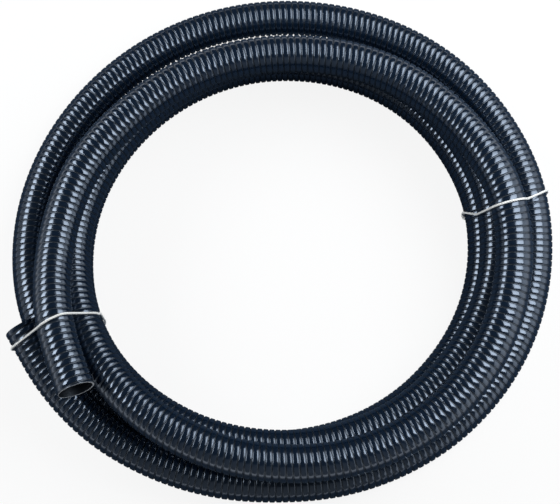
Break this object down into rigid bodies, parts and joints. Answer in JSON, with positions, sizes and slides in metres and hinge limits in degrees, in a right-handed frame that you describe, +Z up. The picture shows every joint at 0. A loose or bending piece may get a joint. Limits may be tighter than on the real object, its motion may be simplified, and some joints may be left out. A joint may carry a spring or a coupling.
{
  "type": "pool vacuum hose",
  "caption": "Spiral-ribbed flexible suction hose with plain cut ends, lying in a piled coil that two strings tie together.",
  "frame": {"origin": "on the ground below the middle of the coil", "axes": "+Z up, along the coil's axis; -X towards the side where both ends of the hose lie; -Y towards the side that the upper end's mouth faces"},
  "size_m": [0.6612, 0.6374, 0.1526],
  "materials": {
    "hose": "glossy flexible plastic, dark navy",
    "string": "white twisted string"
  },
  "bodies": {
    "root": {"hose_coil": "hose", "lower_end": "hose", "upper_end": "hose", "tie_left": "string", "tie_right": "string"}
  },
  "joints": []
}
